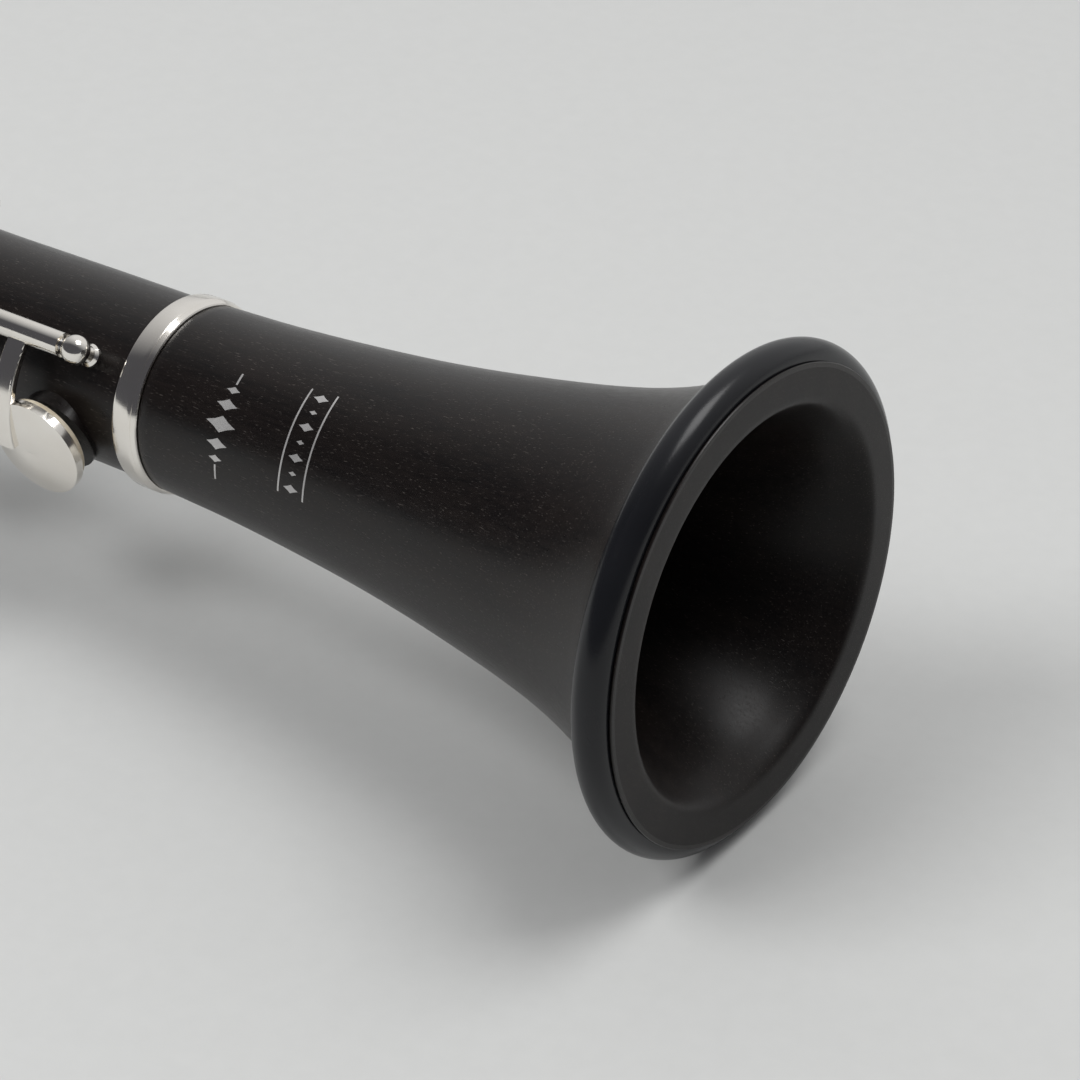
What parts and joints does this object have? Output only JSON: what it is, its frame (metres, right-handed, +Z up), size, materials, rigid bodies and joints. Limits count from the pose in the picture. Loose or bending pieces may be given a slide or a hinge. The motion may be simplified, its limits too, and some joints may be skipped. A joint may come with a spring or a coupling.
{
  "type": "clarinet",
  "caption": "Straight wooden clarinet lying on its side, with flared bell, sprung silver keys, barrel, mouthpiece, reed and ligature.",
  "frame": {"origin": "middle of the bounding box on the surface it lies on", "axes": "+X from the mouthpiece to the bell, level with the surface; +Z up; the front with its finger holes faces -Y and up"},
  "size_m": [0.671, 0.08, 0.0799],
  "materials": {
    "grenadilla": "oiled satin",
    "ebonite": "polished",
    "rim_plastic": "satin",
    "cane": "raw cane",
    "cork": "greased cork",
    "pad_skin": "thin skin over felt",
    "steel": "turned",
    "silver": "polished silver plate"
  },
  "bodies": {
    "lower_joint": {"lower_joint": "grenadilla", "lower_joint_ring": "silver", "lower_joint_cork": "cork", "lower_posts": "silver", "lower_rods_and_springs": "steel", "thumb_rest": "silver", "thumb_rest_screws": "steel"},
    "bell": {"bell": "grenadilla", "bell_rim_ring": "rim_plastic", "bell_socket_ring": "silver"},
    "upper_joint": {"upper_joint": "grenadilla", "upper_joint_fittings": "silver", "upper_joint_corks": "cork", "upper_posts": "silver", "upper_rods_and_springs": "steel"},
    "barrel": {"barrel": "grenadilla", "barrel_rings": "silver"},
    "mouthpiece": {"mouthpiece": "ebonite", "mouthpiece_cork": "cork", "reed": "cane", "ligature": "silver"},
    "ligature_screw_lower": {"ligature_screw_lower": "silver"},
    "ligature_screw_upper": {"ligature_screw_upper": "silver"},
    "e_key": {"e_key": "silver", "e_pad": "pad_skin"},
    "f_key": {"f_key": "silver", "f_pad": "pad_skin"},
    "f_sharp_key": {"f_sharp_key": "silver", "f_sharp_pad": "pad_skin"},
    "a_flat_key": {"a_flat_key": "silver", "a_flat_pad": "pad_skin"},
    "banana_key": {"banana_key": "silver", "banana_pad": "pad_skin"},
    "lower_ring_key": {"lower_ring_key": "silver", "lower_ring_pad": "pad_skin"},
    "second_ring_key": {"second_ring_key": "silver", "second_ring_pad": "pad_skin"},
    "first_ring_key": {"first_ring_key": "silver", "first_ring_pad": "pad_skin"},
    "c_sharp_key": {"c_sharp_key": "silver", "c_sharp_pad": "pad_skin"},
    "sliver_key": {"sliver_key": "silver", "sliver_pad": "pad_skin"},
    "throat_a_key": {"throat_a_key": "silver", "throat_a_pad": "pad_skin"},
    "throat_g_sharp_key": {"throat_g_sharp_key": "silver", "throat_g_sharp_pad": "pad_skin"},
    "register_key": {"register_key": "silver", "register_pad": "pad_skin"},
    "side_1_key": {"side_1_key": "silver", "side_1_pad": "pad_skin"},
    "side_2_key": {"side_2_key": "silver", "side_2_pad": "pad_skin"},
    "side_3_key": {"side_3_key": "silver", "side_3_pad": "pad_skin"},
    "side_4_key": {"side_4_key": "silver", "side_4_pad": "pad_skin"},
    "e_lever": {"e_lever": "silver"},
    "f_lever": {"f_lever": "silver"},
    "thumb_ring_key": {"thumb_ring_key": "silver"}
  },
  "joints": [
    {"name": "bell_tenon", "type": "slide", "parent": "lower_joint", "child": "bell", "axis": [0.9992, 0, 0.0401], "range_m": [0, 0.024]},
    {"name": "middle_tenon", "type": "slide", "parent": "lower_joint", "child": "upper_joint", "axis": [-0.9992, 0, -0.0401], "range_m": [0, 0.024]},
    {"name": "barrel_tenon", "type": "slide", "parent": "upper_joint", "child": "barrel", "axis": [-0.9992, 0, -0.0401], "range_m": [0, 0.018]},
    {"name": "mouthpiece_tenon", "type": "slide", "parent": "barrel", "child": "mouthpiece", "axis": [-0.9992, 0, -0.0401], "range_m": [0, 0.018]},
    {"name": "ligature_screw_lower_turn", "type": "hinge", "parent": "mouthpiece", "child": "ligature_screw_lower", "pos_m": [-0.27709, 0.01393, 0.0058], "axis": [-0.0329, 0.5736, 0.8185], "continuous": true},
    {"name": "ligature_screw_upper_turn", "type": "hinge", "parent": "mouthpiece", "child": "ligature_screw_upper", "pos_m": [-0.29108, 0.01393, 0.00524], "axis": [-0.0329, 0.5736, 0.8185], "continuous": true},
    {"name": "e_key_hinge", "type": "hinge", "parent": "lower_joint", "child": "e_key", "pos_m": [0.17464, -0.01472, 0.04651], "axis": [0.9992, 0, 0.0401], "range_deg": [0, 8], "stiffness_Nm_per_rad": 0.01, "springref_deg": -57.3},
    {"name": "f_key_hinge", "type": "hinge", "parent": "lower_joint", "child": "f_key", "pos_m": [0.17132, -0.01767, 0.04182], "axis": [0.9992, 0, 0.0401], "range_deg": [0, 8], "stiffness_Nm_per_rad": 0.01, "springref_deg": -57.3},
    {"name": "f_sharp_key_hinge", "type": "hinge", "parent": "lower_joint", "child": "f_sharp_key", "pos_m": [0.08147, 0.00505, 0.04882], "axis": [0.9992, 0, 0.0401], "range_deg": [0, 7], "stiffness_Nm_per_rad": 0.01, "springref_deg": -57.3},
    {"name": "a_flat_key_hinge", "type": "hinge", "parent": "lower_joint", "child": "a_flat_key", "pos_m": [0.11289, -0.01795, 0.03885], "axis": [0.9992, 0, 0.0401], "range_deg": [0, 8], "stiffness_Nm_per_rad": 0.01, "springref_deg": -57.3},
    {"name": "banana_key_hinge", "type": "hinge", "parent": "lower_joint", "child": "banana_key", "pos_m": [0.08019, -0.01897, 0.03091], "axis": [-0.9992, 0, -0.0401], "range_deg": [0, 8], "stiffness_Nm_per_rad": 0.01, "springref_deg": -57.3},
    {"name": "lower_ring_key_hinge", "type": "hinge", "parent": "lower_joint", "child": "lower_ring_key", "pos_m": [0.05523, -0.00166, 0.04786], "axis": [0.9992, 0, 0.0401], "range_deg": [0, 6], "stiffness_Nm_per_rad": 0.01, "springref_deg": -57.3},
    {"name": "e_lever_hinge", "type": "hinge", "parent": "lower_joint", "child": "e_lever", "pos_m": [0.08759, 0.0098, 0.04591], "axis": [-0.9992, 0, -0.0401], "range_deg": [0, 4.61], "stiffness_Nm_per_rad": 0.01, "springref_deg": -57.3},
    {"name": "f_lever_hinge", "type": "hinge", "parent": "lower_joint", "child": "f_lever", "pos_m": [0.09473, 0.01396, 0.04265], "axis": [-0.9992, 0, -0.0401], "range_deg": [0, 5.71], "stiffness_Nm_per_rad": 0.01, "springref_deg": -57.3},
    {"name": "second_ring_key_hinge", "type": "hinge", "parent": "upper_joint", "child": "second_ring_key", "pos_m": [-0.06265, -0.00161, 0.04262], "axis": [0.9992, 0, 0.0401], "range_deg": [0, 6], "stiffness_Nm_per_rad": 0.01, "springref_deg": -57.3},
    {"name": "first_ring_key_hinge", "type": "hinge", "parent": "upper_joint", "child": "first_ring_key", "pos_m": [-0.13084, -0.00161, 0.03988], "axis": [0.9992, 0, 0.0401], "range_deg": [0, 6], "stiffness_Nm_per_rad": 0.01, "springref_deg": -57.3},
    {"name": "thumb_ring_key_hinge", "type": "hinge", "parent": "upper_joint", "child": "thumb_ring_key", "pos_m": [-0.12901, 0.01551, 0.03159], "axis": [-0.9992, 0, -0.0401], "range_deg": [0, 4.51], "stiffness_Nm_per_rad": 0.01, "springref_deg": -57.3},
    {"name": "c_sharp_key_hinge", "type": "hinge", "parent": "upper_joint", "child": "c_sharp_key", "pos_m": [-0.04437, 0.00663, 0.0422], "axis": [0.9992, 0, 0.0401], "range_deg": [0, 6], "stiffness_Nm_per_rad": 0.01, "springref_deg": -57.3},
    {"name": "sliver_key_hinge", "type": "hinge", "parent": "upper_joint", "child": "sliver_key", "pos_m": [-0.08778, -0.01816, 0.0267], "axis": [-0.9992, 0, -0.0401], "range_deg": [0, 8], "stiffness_Nm_per_rad": 0.01, "springref_deg": -57.3},
    {"name": "side_1_key_hinge", "type": "hinge", "parent": "upper_joint", "child": "side_1_key", "pos_m": [-0.04138, -0.01595, 0.01759], "axis": [0.9992, 0, 0.0401], "range_deg": [0, 7], "stiffness_Nm_per_rad": 0.01, "springref_deg": -57.3},
    {"name": "side_2_key_hinge", "type": "hinge", "parent": "upper_joint", "child": "side_2_key", "pos_m": [-0.07219, -0.01328, 0.01224], "axis": [0.9992, 0, 0.0401], "range_deg": [0, 7], "stiffness_Nm_per_rad": 0.01, "springref_deg": -57.3},
    {"name": "side_3_key_hinge", "type": "hinge", "parent": "upper_joint", "child": "side_3_key", "pos_m": [-0.09304, -0.00959, 0.00818], "axis": [0.9992, 0, 0.0401], "range_deg": [0, 7], "stiffness_Nm_per_rad": 0.01, "springref_deg": -57.3},
    {"name": "side_4_key_hinge", "type": "hinge", "parent": "upper_joint", "child": "side_4_key", "pos_m": [-0.11394, -0.00515, 0.00527], "axis": [0.9992, 0, 0.0401], "range_deg": [0, 7], "stiffness_Nm_per_rad": 0.02, "springref_deg": -114.59},
    {"name": "throat_a_key_hinge", "type": "hinge", "parent": "upper_joint", "child": "throat_a_key", "pos_m": [-0.17085, -0.0162, 0.02671], "axis": [-0.037, 0.3907, 0.9198], "range_deg": [0, 7], "stiffness_Nm_per_rad": 0.01, "springref_deg": -57.3},
    {"name": "throat_g_sharp_key_hinge", "type": "hinge", "parent": "upper_joint", "child": "throat_g_sharp_key", "pos_m": [-0.16617, -0.00959, 0.03479], "axis": [-0.0219, 0.8387, 0.5442], "range_deg": [0, 7], "stiffness_Nm_per_rad": 0.01, "springref_deg": -57.3},
    {"name": "register_key_hinge", "type": "hinge", "parent": "upper_joint", "child": "register_key", "pos_m": [-0.16817, 0.01442, 0.00983], "axis": [0.0329, -0.5736, -0.8185], "range_deg": [0, 7], "stiffness_Nm_per_rad": 0.01, "springref_deg": -57.3}
  ],
  "couplings": [
    {"joint": "e_lever_hinge", "follows": "e_key_hinge", "ratio": 0.575},
    {"joint": "f_lever_hinge", "follows": "f_key_hinge", "ratio": 0.7125},
    {"joint": "thumb_ring_key_hinge", "follows": "first_ring_key_hinge", "ratio": 0.75}
  ]
}
